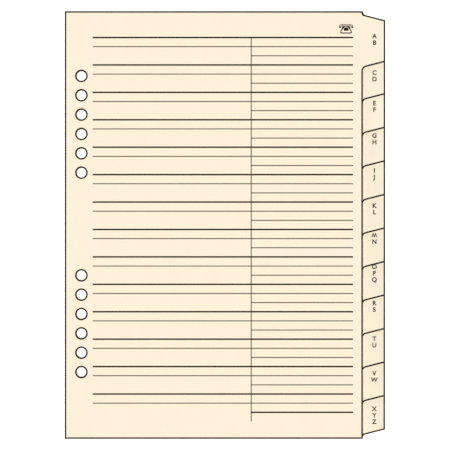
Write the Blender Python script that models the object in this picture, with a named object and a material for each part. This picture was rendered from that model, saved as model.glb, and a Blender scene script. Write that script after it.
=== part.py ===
"""Pack of tabbed A to Z address leaves for a ring binder.

Twelve die-cut sheets of card lie on each other as they do in a binder. Each has a row of ring
holes down its binding edge and one index tab on the opposite edge, a step lower than the tab
of the sheet above it.

Metres, +Z up. +X runs from the ring holes to the tabs, and +Y to the head of the page. The
origin is the middle of the pack's footprint, on the surface that the pack lies on.
"""

import math

import bpy

# Page
PAGE_HEIGHT = 0.210
PAGE_WIDTH = 0.1464
SHEET_THICKNESS = 0.00025
SHEET_GAP = 0.0003

# Index tabs
TAB_DEPTH = 0.011
TAB_LENGTH = 0.0198
TAB_END_MARGIN = 0.0045
TAB_SLOPE = 0.0028
TAB_ROOT_RADIUS = 0.002
TAB_CORNER_RADIUS = 0.0004
FIRST_TAB_EXTRA = 0.0006

# Ring holes: groups in one line, evenly pitched in each group. The whole row's middle lies
# HOLE_ROW_RISE above the middle of the page, and HOLE_GROUP_GAP is from centre to centre.
HOLE_DIAMETER = 0.0047
HOLE_TO_EDGE = 0.0082
HOLE_ROW_RISE = 0.0005
HOLE_PITCH = 0.0095
HOLE_GROUP_GAP = 0.0504
HOLES_IN_GROUP = 6
HOLE_GROUPS = 2

# The binder's rings, about whose centre the sheets turn
RING_RADIUS = 0.0125

ARC_STEPS = 5
MOST_OF_SIDE = 0.95
HOLE_SIDES = 16

LETTERS = [
    "a_to_b",
    "c_to_d",
    "e_to_f",
    "g_to_h",
    "i_to_j",
    "k_to_l",
    "m_to_n",
    "o_to_q",
    "r_to_s",
    "t_to_u",
    "v_to_w",
    "x_to_z",
]
COLLECTION_NAME = "address_index_leaves"
CARD_COLOUR = (0.93, 0.82, 0.655, 1.0)
CARD_ROUGHNESS = 0.85

# Sizes that follow from those above
LEFT = -(PAGE_WIDTH + TAB_DEPTH) / 2
SHOULDER = LEFT + PAGE_WIDTH
TAB_FACE = SHOULDER + TAB_DEPTH
HEAD = PAGE_HEIGHT / 2
FOOT = -PAGE_HEIGHT / 2
HOLE_LINE = LEFT + HOLE_TO_EDGE
HOLE_GROUP_SPAN = (HOLES_IN_GROUP - 1) * HOLE_PITCH
HOLE_GROUP_STEP = HOLE_GROUP_SPAN + HOLE_GROUP_GAP
HOLE_ROW_SPAN = (HOLE_GROUPS - 1) * HOLE_GROUP_STEP + HOLE_GROUP_SPAN
FIRST_HOLE_Y = HOLE_ROW_RISE + HOLE_ROW_SPAN / 2
TAB_STEP = (PAGE_HEIGHT - 2 * TAB_END_MARGIN - TAB_LENGTH) / (len(LETTERS) - 1)
SHEET_STEP = SHEET_THICKNESS + SHEET_GAP
PACK_THICKNESS = (len(LETTERS) - 1) * SHEET_STEP + SHEET_THICKNESS
TURN_AXIS_X = HOLE_LINE - RING_RADIUS
TURN_AXIS_Z = PACK_THICKNESS / 2


def clear_scene():
    for obj in list(bpy.data.objects):
        bpy.data.objects.remove(obj, do_unlink=True)


def card_material():
    material = bpy.data.materials.new("cream_card")
    material.use_nodes = True
    shader = material.node_tree.nodes["Principled BSDF"]
    shader.inputs["Base Color"].default_value = CARD_COLOUR
    shader.inputs["Roughness"].default_value = CARD_ROUGHNESS
    shader.inputs["Metallic"].default_value = 0.0
    material.diffuse_color = CARD_COLOUR
    return material


def rounded_corner(before, corner, after, radius):
    """Points along the arc that rounds a corner of an outline, or the corner itself.

    The arc is made smaller where it would take more than MOST_OF_SIDE of a side.
    """
    if radius == 0:
        return [corner]
    to_before = math.atan2(before[1] - corner[1], before[0] - corner[0])
    to_after = math.atan2(after[1] - corner[1], after[0] - corner[0])
    half_angle = math.remainder(to_after - to_before, math.tau) / 2
    to_centre = to_before + half_angle
    shorter_side = min(math.dist(before, corner), math.dist(corner, after))
    radius = min(radius, MOST_OF_SIDE * shorter_side * abs(math.tan(half_angle)))
    reach = radius / abs(math.sin(half_angle))
    centre_x = corner[0] + reach * math.cos(to_centre)
    centre_y = corner[1] + reach * math.sin(to_centre)
    half_turn = math.copysign(math.pi / 2 - abs(half_angle), half_angle)
    points = []
    for step in range(ARC_STEPS + 1):
        angle = to_centre + math.pi + half_turn * (1 - 2 * step / ARC_STEPS)
        points.append((centre_x + radius * math.cos(angle), centre_y + radius * math.sin(angle)))
    return points


def sheet_outline(index):
    """The outer edge of the sheet at this place in the pack, 0 on top, as a list of (x, y)."""
    tab_top = HEAD - TAB_END_MARGIN - index * TAB_STEP
    tab_bottom = tab_top - TAB_LENGTH
    if index == 0:
        tab_bottom -= FIRST_TAB_EXTRA
    corners = [
        (LEFT, FOOT, 0),
        (SHOULDER, FOOT, 0),
        (SHOULDER, tab_bottom - TAB_SLOPE, TAB_ROOT_RADIUS),
        (TAB_FACE, tab_bottom, TAB_CORNER_RADIUS),
        (TAB_FACE, tab_top, TAB_CORNER_RADIUS),
        (SHOULDER, tab_top + TAB_SLOPE, TAB_ROOT_RADIUS),
        (SHOULDER, HEAD, 0),
        (LEFT, HEAD, 0),
    ]
    points = []
    for place, (x, y, radius) in enumerate(corners):
        before = corners[place - 1][:2]
        after = corners[(place + 1) % len(corners)][:2]
        points += rounded_corner(before, (x, y), after, radius)
    return points


def hole_centres():
    """The ring holes' centres, from the head of the page to its foot."""
    centres = []
    for group in range(HOLE_GROUPS):
        for hole in range(HOLES_IN_GROUP):
            y = FIRST_HOLE_Y - group * HOLE_GROUP_STEP - hole * HOLE_PITCH
            centres.append((HOLE_LINE, y))
    return centres


def circle(centre, radius):
    points = []
    for side in range(HOLE_SIDES):
        angle = math.tau * side / HOLE_SIDES
        points.append((centre[0] + radius * math.cos(angle), centre[1] + radius * math.sin(angle)))
    return points


def add_loop(curve, points):
    spline = curve.splines.new("POLY")
    spline.points.add(len(points) - 1)
    for point, (x, y) in zip(spline.points, points):
        point.co = (x, y, 0, 1)
    spline.use_cyclic_u = True


def make_leaf(index, name, material, collection):
    """One sheet, flat and in its place in the pack."""
    curve = bpy.data.curves.new(name, "CURVE")
    curve.dimensions = "2D"
    curve.fill_mode = "BOTH"
    curve.extrude = SHEET_THICKNESS / 2
    add_loop(curve, sheet_outline(index))
    for centre in hole_centres():
        add_loop(curve, circle(centre, HOLE_DIAMETER / 2))
    curve.materials.append(material)
    leaf = bpy.data.objects.new(name, curve)
    sheets_below = len(LETTERS) - 1 - index
    leaf.location = (0, 0, sheets_below * SHEET_STEP + SHEET_THICKNESS / 2)
    collection.objects.link(leaf)
    return leaf


def carry(child, parent):
    """Parents an object and leaves it where it is."""
    bpy.context.view_layer.update()
    child.parent = parent
    child.matrix_parent_inverse = parent.matrix_world.inverted()


def hinge_on_rings(leaf, leaf_below, collection):
    """Turning the empty by up to -180 degrees about Y lays the leaf over on the left."""
    turn = bpy.data.objects.new("turn_" + leaf.name, None)
    turn.location = (TURN_AXIS_X, 0, TURN_AXIS_Z)
    collection.objects.link(turn)
    carry(leaf, turn)
    carry(turn, leaf_below)


def build():
    clear_scene()
    collection = bpy.data.collections.new(COLLECTION_NAME)
    bpy.context.scene.collection.children.link(collection)
    material = card_material()
    leaves = []
    for index, letters in enumerate(LETTERS):
        leaves.append(make_leaf(index, "leaf_" + letters, material, collection))
    for leaf, leaf_below in zip(leaves, leaves[1:]):
        hinge_on_rings(leaf, leaf_below, collection)


build()
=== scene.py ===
"""Looks of a pack of tabbed A to Z address leaves for a ring binder.

Each leaf is a thin sheet of cream card, die-cut with an index tab and twelve ring holes, and
printed in black on both faces: a line round its edge and round each hole, the rules of the
address table, the letters on its tab and a telephone sign. Every printed mark is its own thin
layer of ink. Metres throughout, in the frame of the CAD sheets.
"""

import math

import bmesh
import bpy
from mathutils import Matrix, Vector


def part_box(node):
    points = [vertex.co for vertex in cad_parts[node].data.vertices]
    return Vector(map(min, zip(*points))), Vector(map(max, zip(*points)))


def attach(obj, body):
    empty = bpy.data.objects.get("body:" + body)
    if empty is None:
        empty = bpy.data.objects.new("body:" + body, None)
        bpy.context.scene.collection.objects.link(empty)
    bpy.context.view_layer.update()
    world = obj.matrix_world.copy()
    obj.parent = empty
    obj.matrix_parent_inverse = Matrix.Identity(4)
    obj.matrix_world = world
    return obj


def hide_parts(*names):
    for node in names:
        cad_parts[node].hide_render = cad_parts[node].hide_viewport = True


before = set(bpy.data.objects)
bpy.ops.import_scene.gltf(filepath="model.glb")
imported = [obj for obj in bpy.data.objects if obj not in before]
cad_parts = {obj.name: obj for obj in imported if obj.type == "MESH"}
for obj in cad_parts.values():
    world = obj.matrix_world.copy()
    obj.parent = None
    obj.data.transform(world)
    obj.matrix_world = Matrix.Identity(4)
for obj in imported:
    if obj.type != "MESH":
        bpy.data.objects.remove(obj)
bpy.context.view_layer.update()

MM = 0.001
MERGE_DISTANCE = 0.001 * MM

# The leaves from the top of the pack down: name, letters on the tab, and how far the middle of
# the first letter lies below the head of the page.
LEAVES = (
    ("a_to_b", "AB", 12.3 * MM),
    ("c_to_d", "CD", 30.2 * MM),
    ("e_to_f", "EF", 45.2 * MM),
    ("g_to_h", "GH", 61.1 * MM),
    ("i_to_j", "IJ", 78.2 * MM),
    ("k_to_l", "KL", 95.5 * MM),
    ("m_to_n", "MN", 110.0 * MM),
    ("o_to_q", "OPQ", 125.5 * MM),
    ("r_to_s", "RS", 143.4 * MM),
    ("t_to_u", "TU", 160.9 * MM),
    ("v_to_w", "VW", 177.9 * MM),
    ("x_to_z", "XYZ", 195.4 * MM),
)

# Where the sheets lie, seen from above
top_low, top_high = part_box("leaf_a_to_b")
LEFT = top_low.x
TAB_FACE = top_high.x
FOOT = top_low.y
HEAD = top_high.y

# How the sheets are cut
TAB_SLOPE = 2.8 * MM
TAB_ROOT_RADIUS = 2.0 * MM
TAB_CORNER_RADIUS = 0.4 * MM
HOLE_RADIUS = 2.35 * MM
HOLE_TO_EDGE = 8.2 * MM
HOLE_ROW_RISE = 0.5 * MM
HOLE_PITCH = 9.5 * MM
HOLE_GROUP_GAP = 50.4 * MM
HOLES_IN_GROUP = 6
HOLE_GROUPS = 2
EDGE_SOFTNESS = 0.03 * MM
BEVEL_RESOLUTION = 1
ARC_STEPS = 8
HOLE_SIDES = 36
CIRCLE_START = 0.2
MOST_OF_SIDE = 0.95
STEEP = 0.5  # a face is steep when the Z of its normal is less than this

# How flat the sheets lie, and the grid that cuts them up so that they can bend
WAVE_HEIGHT = 0.2 * MM
WAVE_LENGTH = 190 * MM
GOLDEN_ANGLE = math.pi * (3 - math.sqrt(5))
GRID = 18 * MM

# The print: line widths, how deep the ink sits in the card and how far it stands out, and how
# far it stops short of a cut
KEYLINE = 0.78 * MM
THICK_RULE = 0.76 * MM
THIN_RULE = 0.44 * MM
INK_SUNK = 0.008 * MM
INK_RAISED = 0.014 * MM
INK_TO_CUT = 0.01 * MM

# The address table. The column line's faces lie a little inside the rules', so that no two
# faces share a plane.
RULES_FROM_LEFT = 13.73 * MM
RULES_WIDTH = 127.8 * MM
COLUMN_LINE = 77.84 * MM
FIRST_RULE = 12.97 * MM
RULE_PITCH = 4.487 * MM
LAST_RULE = 41
LINES_IN_ENTRY = 3
COLUMN_LINE_SHY = 0.002 * MM

# The letters and the telephone
LETTER_FROM_SHOULDER = 5.69 * MM
LETTER_HEIGHT = 2.26 * MM
LETTER_WEIGHT = 0.10 * MM
LETTER_PITCH = 3.16 * MM
LETTER_RESOLUTION = 8
NARROWER_W = 0.86
TELEPHONE_WIDTH = 6.8 * MM
TELEPHONE_ABOVE_RULE = 1.9 * MM
CURVE_STEPS = 5

# The materials: the usual span of a noise's values, how much of the coarse noise goes into a
# tone, and how strongly the fine one raises the surface
NOISE_LOW = 0.3
NOISE_HIGH = 0.7
FINE_DETAIL = 5.0
COARSE_DETAIL = 2.0
COARSE_SHARE = 0.4
RELIEF_STRENGTH = 0.5

# The light. Each strength is the brightness that it gives a white card facing it.
KEY_LIGHT = 0.74
KEY_ANGLE = math.radians(5)
SIDE_LIGHT = 0.25
SIDE_ANGLE = math.radians(20)
SIDE_HEIGHT = math.radians(12)
SIDES = 4
FILL_LIGHT = 0.125

# The floor, which glows so that it stays white in the holes, and the camera
FLOOR_BELOW = 0.3 * MM
FLOOR_SIZE = 60.0
FLOOR_GREY = 0.97
FLOOR_GLOW = 0.3
FRAME_WIDTH = 220.9 * MM
LENS_MM = 600.0
SENSOR_MM = 36.0

FRONT, BACK = 1, -1


def flat_vertices(node):
    """The corners of a CAD sheet, as (x, y)."""
    return [(v.co.x, v.co.y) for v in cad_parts[node].data.vertices]


def page_edge():
    """X of the page's free edge, which the tabs stand out from."""
    return max(x for x, y in flat_vertices("leaf_a_to_b") if HEAD - y < EDGE_SOFTNESS)


SHOULDER = page_edge()
RULES_LEFT = LEFT + RULES_FROM_LEFT
RULES_MIDDLE = RULES_LEFT + RULES_WIDTH / 2
LETTER_X = SHOULDER + LETTER_FROM_SHOULDER
HOLE_X = LEFT + HOLE_TO_EDGE


# ---------------------------------------------------------------- outlines

def tab_ends(node):
    """Y of the two outer corners of a tab, upper first, as they are before rounding."""
    on_face = [y for x, y in flat_vertices(node) if TAB_FACE - x < EDGE_SOFTNESS]
    corner = (math.pi / 2 + math.atan2(TAB_SLOPE, TAB_FACE - SHOULDER)) / 2
    rounded_off = TAB_CORNER_RADIUS / math.tan(corner)
    return max(on_face) + rounded_off, min(on_face) - rounded_off


def sheet_corners(node):
    """A sheet's corners, counter-clockwise, as (point, radius)."""
    upper, lower = tab_ends(node)
    return [
        (Vector((LEFT, FOOT)), 0),
        (Vector((SHOULDER, FOOT)), 0),
        (Vector((SHOULDER, lower - TAB_SLOPE)), TAB_ROOT_RADIUS),
        (Vector((TAB_FACE, lower)), TAB_CORNER_RADIUS),
        (Vector((TAB_FACE, upper)), TAB_CORNER_RADIUS),
        (Vector((SHOULDER, upper + TAB_SLOPE)), TAB_ROOT_RADIUS),
        (Vector((SHOULDER, HEAD)), 0),
        (Vector((LEFT, HEAD)), 0),
    ]


def neighbours(items):
    """Each item with the one before it and the one after it, round a closed list."""
    return zip(items[-1:] + items[:-1], items, items[1:] + items[:1])


def inset_corners(corners, depth):
    """The corners of an outline that runs this far inside another."""
    moved = []
    for (before, _), (corner, radius), (after, _) in neighbours(corners):
        into = (corner - before).normalized()
        out = (after - corner).normalized()
        normal_in = Vector((-into.y, into.x))
        normal_out = Vector((-out.y, out.x))
        shift = (normal_in + normal_out) * depth / (1 + normal_in.dot(normal_out))
        turns_left = into.cross(out) > 0
        if radius > 0:
            radius = max(radius - depth, 0) if turns_left else radius + depth
        moved.append((corner + shift, radius))
    return moved


def rounded(corners):
    """The outline's points, with its corners rounded as far as their sides have room."""
    points = []
    for (before, _), (corner, radius), (after, _) in neighbours(corners):
        to_before = before - corner
        to_after = after - corner
        half_angle = to_before.angle(to_after) / 2
        shorter = min(to_before.length, to_after.length)
        radius = min(radius, MOST_OF_SIDE * shorter * math.tan(half_angle))
        if radius <= 0:
            points.append(corner)
            continue
        bisector = (to_before.normalized() + to_after.normalized()).normalized()
        centre = corner + bisector * radius / math.sin(half_angle)
        start = corner + to_before.normalized() * radius / math.tan(half_angle) - centre
        sweep = math.copysign(math.pi - 2 * half_angle, to_after.cross(to_before))
        for step in range(ARC_STEPS + 1):
            points.append(centre + Matrix.Rotation(sweep * step / ARC_STEPS, 2) @ start)
    return points


def circle(centre, radius):
    """Starts off the axes, so that no corner lines up with another hole's."""
    angles = [math.tau * (side + CIRCLE_START) / HOLE_SIDES for side in range(HOLE_SIDES)]
    return [centre + radius * Vector((math.cos(a), math.sin(a))) for a in angles]


def rectangle(left, right, low, high):
    return [Vector(p) for p in ((left, low), (right, low), (right, high), (left, high))]


def hole_centres():
    """The ring holes' centres, from the head of the page to its foot."""
    group_span = (HOLES_IN_GROUP - 1) * HOLE_PITCH
    group_step = group_span + HOLE_GROUP_GAP
    row = (HOLE_GROUPS - 1) * group_step + group_span
    first = (HEAD + FOOT) / 2 + HOLE_ROW_RISE + row / 2
    centres = []
    for group in range(HOLE_GROUPS):
        for hole in range(HOLES_IN_GROUP):
            down = group * group_step + hole * HOLE_PITCH
            centres.append(Vector((HOLE_X, first - down)))
    return centres


# ---------------------------------------------------------------- solids

def flat_solid(loops, low, high, softness=0.0):
    """A mesh of the area inside the loops, less the loops inside those, between two heights."""
    curve = bpy.data.curves.new("outline", "CURVE")
    curve.dimensions = "2D"
    curve.fill_mode = "BOTH"
    curve.extrude = (high - low) / 2 - softness
    curve.bevel_depth = softness
    curve.bevel_resolution = BEVEL_RESOLUTION
    curve.offset = -softness
    for loop in loops:
        spline = curve.splines.new("POLY")
        spline.points.add(len(loop) - 1)
        for point, place in zip(spline.points, loop):
            point.co = (place.x, place.y, 0, 1)
        spline.use_cyclic_u = True
    return evaluated(curve, Matrix.Translation((0, 0, (low + high) / 2)))


def evaluated(data, matrix):
    """The closed mesh, as a bmesh, that a curve or text makes."""
    maker = bpy.data.objects.new("maker", data)
    bpy.context.scene.collection.objects.link(maker)
    graph = bpy.context.evaluated_depsgraph_get()
    mesh = bpy.data.meshes.new_from_object(maker.evaluated_get(graph))
    bpy.data.objects.remove(maker)
    solid = bmesh.new()
    solid.from_mesh(mesh)
    bpy.data.meshes.remove(mesh)
    bmesh.ops.remove_doubles(solid, verts=solid.verts, dist=MERGE_DISTANCE)
    bmesh.ops.transform(solid, matrix=matrix, verts=solid.verts)
    return solid


def joined(solids):
    """One bmesh that holds them all, each still a closed body of its own."""
    whole = bmesh.new()
    for solid in solids:
        mesh = bpy.data.meshes.new("part")
        solid.to_mesh(mesh)
        solid.free()
        whole.from_mesh(mesh)
        bpy.data.meshes.remove(mesh)
    return whole


def cut_on_grid(solid):
    """Cuts long faces so that they can follow a sheet that isn't quite flat."""
    for axis in (0, 1):
        places = [v.co[axis] for v in solid.verts]
        normal = [0.0, 0.0, 0.0]
        normal[axis] = 1.0
        for line in range(math.ceil(min(places) / GRID), math.ceil(max(places) / GRID)):
            at = [n * line * GRID for n in normal]
            everything = solid.verts[:] + solid.edges[:] + solid.faces[:]
            bmesh.ops.bisect_plane(solid, geom=everything, plane_co=at, plane_no=normal)


def lay(solid, index):
    """Lifts each point by what its own sheet is out of flat."""
    turn = index * GOLDEN_ANGLE
    for vertex in solid.verts:
        along = math.sin(math.tau * vertex.co.y / WAVE_LENGTH + turn)
        across = math.sin(math.tau * vertex.co.x / WAVE_LENGTH + 2 * turn + along)
        vertex.co.z += WAVE_HEIGHT * (2 + along + across) / 4


def add_piece(name, solid, index, node, materials):
    """A finished piece, lying on its sheet and moving with it."""
    cut_on_grid(solid)
    lay(solid, index)
    bmesh.ops.recalc_face_normals(solid, faces=solid.faces)
    mesh = bpy.data.meshes.new(name)
    solid.to_mesh(mesh)
    solid.free()
    piece = bpy.data.objects.new(name, mesh)
    bpy.context.scene.collection.objects.link(piece)
    for material in materials:
        mesh.materials.append(material)
    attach(piece, node)
    return piece


# ---------------------------------------------------------------- materials

def noise_in(tree, place, size, detail):
    """The value of a noise whose grains have this size along X, Y and Z."""
    mapping = tree.nodes.new("ShaderNodeMapping")
    mapping.inputs["Scale"].default_value = [1 / length for length in size]
    tree.links.new(place, mapping.inputs["Vector"])
    texture = tree.nodes.new("ShaderNodeTexNoise")
    texture.inputs["Scale"].default_value = 1.0
    texture.inputs["Detail"].default_value = detail
    tree.links.new(mapping.outputs["Vector"], texture.inputs["Vector"])
    return texture.outputs["Fac"]


def blended(tree, first, second, share):
    """The two values mixed, with this share of the second."""
    node = tree.nodes.new("ShaderNodeMix")
    node.inputs["Factor"].default_value = share
    tree.links.new(first, node.inputs["A"])
    tree.links.new(second, node.inputs["B"])
    return node.outputs["Result"]


def ranged(tree, value, to_low, to_high):
    """A noise's usual span, mapped to this one."""
    node = tree.nodes.new("ShaderNodeMapRange")
    tree.links.new(value, node.inputs["Value"])
    node.inputs["From Min"].default_value = NOISE_LOW
    node.inputs["From Max"].default_value = NOISE_HIGH
    node.inputs["To Min"].default_value = to_low
    node.inputs["To Max"].default_value = to_high
    return node.outputs["Result"]


def toned(tree, value, dark, light):
    """A colour between two tones, which the value picks."""
    ramp = tree.nodes.new("ShaderNodeValToRGB")
    ramp.color_ramp.elements[0].position = NOISE_LOW
    ramp.color_ramp.elements[0].color = (*dark, 1)
    ramp.color_ramp.elements[1].position = NOISE_HIGH
    ramp.color_ramp.elements[1].color = (*light, 1)
    tree.links.new(value, ramp.inputs["Fac"])
    return ramp.outputs["Color"]


def paper_like(name, tones, roughness, specular, grains, relief):
    """A matt material: tones and roughness from fine and coarse grains, relief from the fine."""
    material = bpy.data.materials.new(name)
    material.use_nodes = True
    tree = material.node_tree
    shader = tree.nodes["Principled BSDF"]
    shader.inputs["Specular IOR Level"].default_value = specular
    place = tree.nodes.new("ShaderNodeTexCoord").outputs["Object"]
    fine = noise_in(tree, place, grains[0], FINE_DETAIL)
    coarse = noise_in(tree, place, grains[1], COARSE_DETAIL)
    colour = toned(tree, blended(tree, fine, coarse, COARSE_SHARE), *tones)
    tree.links.new(colour, shader.inputs["Base Color"])
    tree.links.new(ranged(tree, fine, *roughness), shader.inputs["Roughness"])
    bump = tree.nodes.new("ShaderNodeBump")
    bump.inputs["Strength"].default_value = RELIEF_STRENGTH
    bump.inputs["Distance"].default_value = relief
    tree.links.new(fine, bump.inputs["Height"])
    tree.links.new(bump.outputs["Normal"], shader.inputs["Normal"])
    return material


# Fibres lie along the page; the cut edge shows the card's layers; ink is a little uneven.
card = paper_like(
    "cream_card",
    tones=((0.915, 0.803, 0.637), (0.945, 0.833, 0.667)),
    roughness=(0.82, 0.94),
    specular=0.2,
    grains=((0.25 * MM, 0.9 * MM, 0.25 * MM), (9 * MM, 14 * MM, 9 * MM)),
    relief=0.02 * MM,
)
card_edge = paper_like(
    "cut_card_edge",
    tones=((0.86, 0.75, 0.59), (0.96, 0.87, 0.73)),
    roughness=(0.88, 0.98),
    specular=0.1,
    grains=((0.6 * MM, 0.6 * MM, 0.05 * MM), (3 * MM, 3 * MM, 1 * MM)),
    relief=0.03 * MM,
)
ink = paper_like(
    "black_ink",
    tones=((0.013, 0.009, 0.003), (0.021, 0.015, 0.006)),
    roughness=(0.6, 0.8),
    specular=0.03,
    grains=((0.12 * MM, 0.3 * MM, 0.12 * MM), (4 * MM, 4 * MM, 4 * MM)),
    relief=0.006 * MM,
)


# ---------------------------------------------------------------- leaves and their print

def ink_layer(node, side):
    """The lowest and highest Z of the ink on one face of a sheet."""
    low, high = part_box(node)
    if side == FRONT:
        return high.z - INK_SUNK, high.z + INK_RAISED
    return low.z - INK_RAISED, low.z + INK_SUNK


def on_face(side, points, middle):
    """Points of the front's print as they lie on this face: the back's is turned about middle."""
    if side == FRONT:
        return points
    return [Vector((2 * middle - point.x, point.y)) for point in points]


def sheet(node):
    """The card itself. Its cut edges, the faces that stand steep, take the second material."""
    low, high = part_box(node)
    loops = [rounded(sheet_corners(node))]
    loops += [circle(centre, HOLE_RADIUS) for centre in hole_centres()]
    solid = flat_solid(loops, low.z, high.z, EDGE_SOFTNESS)
    for face in solid.faces:
        face.material_index = abs(face.normal.z) < STEEP
    return solid


def edge_lines(node, side):
    """The line printed round the sheet, just inside its cut edge."""
    corners = sheet_corners(node)
    outer = rounded(inset_corners(corners, INK_TO_CUT))
    inner = rounded(inset_corners(corners, KEYLINE))
    return flat_solid([outer, inner], *ink_layer(node, side))


def hole_lines(node, side):
    loops = []
    for centre in hole_centres():
        loops.append(circle(centre, HOLE_RADIUS + INK_TO_CUT))
        loops.append(circle(centre, HOLE_RADIUS + KEYLINE))
    return flat_solid(loops, *ink_layer(node, side))


def rules(node, side):
    """The address table: a thick rule for each entry, thin rules between, and a column line."""
    right = RULES_LEFT + RULES_WIDTH
    column = RULES_LEFT + COLUMN_LINE
    top = HEAD - FIRST_RULE
    across = []
    for row in range(LAST_RULE + 1):
        line_in_entry = row % LINES_IN_ENTRY
        width = THICK_RULE if line_in_entry == 0 or row == LAST_RULE else THIN_RULE
        only_right = line_in_entry == LINES_IN_ENTRY - 1
        left = column if only_right else RULES_LEFT
        y = top - row * RULE_PITCH
        across.append(rectangle(left, right, y - width / 2, y + width / 2))
    down = rectangle(
        column - THIN_RULE / 2, column + THIN_RULE / 2, top - (LAST_RULE + 1) * RULE_PITCH, top
    )
    low, high = ink_layer(node, side)
    across = [on_face(side, loop, RULES_MIDDLE) for loop in across]
    down = on_face(side, down, RULES_MIDDLE)
    shy = side * COLUMN_LINE_SHY
    return joined([flat_solid(across, low, high), flat_solid([down], low + shy, high - shy)])


def cap_height():
    """Height of a capital letter in a text of size 1."""
    text = bpy.data.curves.new("capital", "FONT")
    text.body = "H"
    solid = evaluated(text, Matrix())
    height = max(v.co.y for v in solid.verts)
    solid.free()
    return height


def turned_over(height):
    """Makes an M with sloping legs from a W of this height."""
    upright = Matrix.Translation((0, height, 0)) @ Matrix.Rotation(math.pi, 4, "Z")
    return upright @ Matrix.Scale(NARROWER_W, 4, (1, 0, 0))


def tab_letters(node, side, letters, first_below_head, text_size):
    """The letters on a tab, one under the other."""
    low, high = ink_layer(node, side)
    solids = []
    for place, letter in enumerate(letters):
        text = bpy.data.curves.new("letter", "FONT")
        text.body = "W" if letter == "M" else letter
        text.size = text_size
        text.align_x = "CENTER"
        text.extrude = (high - low) / 2
        text.offset = LETTER_WEIGHT
        text.resolution_u = LETTER_RESOLUTION
        base = HEAD - first_below_head - place * LETTER_PITCH - LETTER_HEIGHT / 2 + LETTER_WEIGHT
        matrix = Matrix.Translation((LETTER_X, base, (low + high) / 2))
        if side == BACK:
            matrix = matrix @ Matrix.Rotation(math.pi, 4, "Y")
        if letter == "M":
            matrix = matrix @ turned_over(LETTER_HEIGHT - 2 * LETTER_WEIGHT)
        solids.append(evaluated(text, matrix))
    return joined(solids)


def smooth_loop(*half):
    """A closed Catmull-Rom curve through points, in mm, of its right half, and their mirrors."""
    points = [Vector(pair) * MM for pair in half]
    points += [Vector((-p.x, p.y)) for p in reversed(points) if p.x > 0]
    count = len(points)
    loop = []
    for place in range(count):
        a, b, c, d = (points[(place + step) % count] for step in (-1, 0, 1, 2))
        for step in range(CURVE_STEPS):
            t = step / CURVE_STEPS
            loop.append(
                0.5 * (2 * b + (c - a) * t + (2 * a - 5 * b + 4 * c - d) * t**2)
                + 0.5 * (3 * b - a - 3 * c + d) * t**3
            )
    return loop


def telephone(node, side):
    """A plain desk telephone, seen from the front, over the right hand end of the rules."""
    handset = smooth_loop(
        (0, 4.58), (1.2, 4.58), (2.1, 4.66), (2.85, 4.38), (3.4, 3.75), (3.5, 3.15),
        (3.2, 2.78), (2.8, 2.75), (2.5, 3.05), (2.2, 3.55), (1.2, 3.82), (0, 3.82),
    )
    handset_light = smooth_loop(
        (0, 4.32), (1.2, 4.31), (2.0, 4.38), (2.6, 4.14), (3.0, 3.72), (3.05, 3.5),
        (2.88, 3.44), (2.55, 3.66), (2.12, 4.02), (1.2, 4.09), (0, 4.09),
    )
    body = smooth_loop(
        (0, 3.62), (0.7, 3.72), (1.4, 3.68), (1.95, 3.3), (2.14, 2.6), (2.45, 1.8), (2.87, 0.98),
        (2.82, 0.42), (2.4, 0.1), (1.2, 0.06), (0, 0.06),
    )
    body_light = smooth_loop(
        (0, 3.42), (0.42, 3.34), (0.88, 3.02), (1.34, 2.52), (1.7, 2.02), (2.06, 1.52), (2.4, 1.0),
        (2.32, 0.74), (2.02, 0.62), (1.2, 0.59), (0, 0.59),
    )
    dial = smooth_loop(
        (0, 3.18), (0.4, 3.1), (0.66, 2.85), (1.02, 2.68), (1.16, 2.1), (1.04, 1.46), (0, 1.42),
    )
    loops = [handset, handset_light, body, body_light, dial]
    right = RULES_LEFT + RULES_WIDTH
    corner = Vector((right - TELEPHONE_WIDTH / 2, HEAD - FIRST_RULE + TELEPHONE_ABOVE_RULE))
    placed = [on_face(side, [corner + p for p in loop], RULES_MIDDLE) for loop in loops]
    return flat_solid(placed, *ink_layer(node, side))


def both_faces(make, node, *details):
    """What make prints on a sheet, on its front and on its back."""
    return joined([make(node, side, *details) for side in (FRONT, BACK)])


text_size = (LETTER_HEIGHT - 2 * LETTER_WEIGHT) / cap_height()
for index, (name, letters, first_below_head) in enumerate(LEAVES):
    node = "leaf_" + name
    leaf = add_piece("card_" + name, sheet(node), index, node, [card, card_edge])
    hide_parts(node)
    prints = {
        "edge_line_": both_faces(edge_lines, node),
        "hole_lines_": both_faces(hole_lines, node),
        "rules_": both_faces(rules, node),
        "letters_": both_faces(tab_letters, node, letters, first_below_head, text_size),
        "telephone_": both_faces(telephone, node),
    }
    for kind, solid in prints.items():
        add_piece(kind + name, solid, index, node, [ink])


# ---------------------------------------------------------------- floor, light and camera

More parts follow.
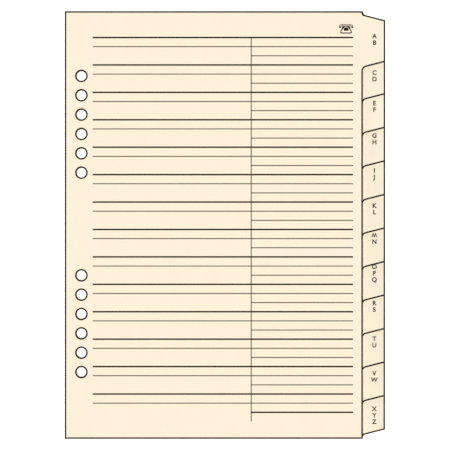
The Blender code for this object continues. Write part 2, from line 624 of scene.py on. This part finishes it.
def add_floor():
    bpy.ops.mesh.primitive_plane_add(size=FLOOR_SIZE, location=(0, 0, -FLOOR_BELOW))
    floor = bpy.context.object
    floor.name = "floor"
    paint = bpy.data.materials.new("pale_floor")
    paint.use_nodes = True
    shader = paint.node_tree.nodes["Principled BSDF"]
    shader.inputs["Base Color"].default_value = (FLOOR_GREY, FLOOR_GREY, FLOOR_GREY, 1)
    shader.inputs["Roughness"].default_value = 1.0
    shader.inputs["Specular IOR Level"].default_value = 0.0
    shader.inputs["Emission Color"].default_value = (1, 1, 1, 1)
    shader.inputs["Emission Strength"].default_value = FLOOR_GLOW
    floor.data.materials.append(paint)


def add_lamp(name, brightness, softness, from_top, turn):
    """A broad lamp far away, this far down from straight above and turned this far round."""
    lamp = bpy.data.lights.new(name, "SUN")
    lamp.energy = brightness * math.pi
    lamp.angle = softness
    holder = bpy.data.objects.new(name, lamp)
    holder.rotation_euler = (from_top, 0, turn)
    bpy.context.scene.collection.objects.link(holder)


def add_light():
    """Light from straight above, low lamps all round for the sides, and a faint white sky."""
    add_lamp("key", KEY_LIGHT, KEY_ANGLE, 0, 0)
    for side in range(SIDES):
        turn = math.tau * side / SIDES
        add_lamp(f"side_{side}", SIDE_LIGHT, SIDE_ANGLE, math.pi / 2 - SIDE_HEIGHT, turn)
    world = bpy.data.worlds.new("studio")
    world.use_nodes = True
    tree = world.node_tree
    background = tree.nodes["Background"]
    background.inputs["Color"].default_value = (1, 1, 1, 1)
    strength = tree.nodes.new("ShaderNodeMapRange")
    strength.inputs["To Min"].default_value = FILL_LIGHT
    strength.inputs["To Max"].default_value = 1.0
    seen = tree.nodes.new("ShaderNodeLightPath").outputs["Is Camera Ray"]
    tree.links.new(seen, strength.inputs["Value"])
    tree.links.new(strength.outputs["Result"], background.inputs["Strength"])
    bpy.context.scene.world = world


def add_camera():
    """Straight above the pack, with a lens so long that the view is almost parallel."""
    camera = bpy.data.cameras.new("camera")
    camera.sensor_width = SENSOR_MM
    camera.lens = LENS_MM
    holder = bpy.data.objects.new("camera", camera)
    distance = FRAME_WIDTH * LENS_MM / SENSOR_MM
    holder.location = ((LEFT + TAB_FACE) / 2, (HEAD + FOOT) / 2, top_high.z + distance)
    camera.clip_end = 4 * distance
    bpy.context.scene.collection.objects.link(holder)
    bpy.context.scene.camera = holder


add_floor()
add_light()
add_camera()
bpy.context.scene.view_settings.view_transform = "Standard"
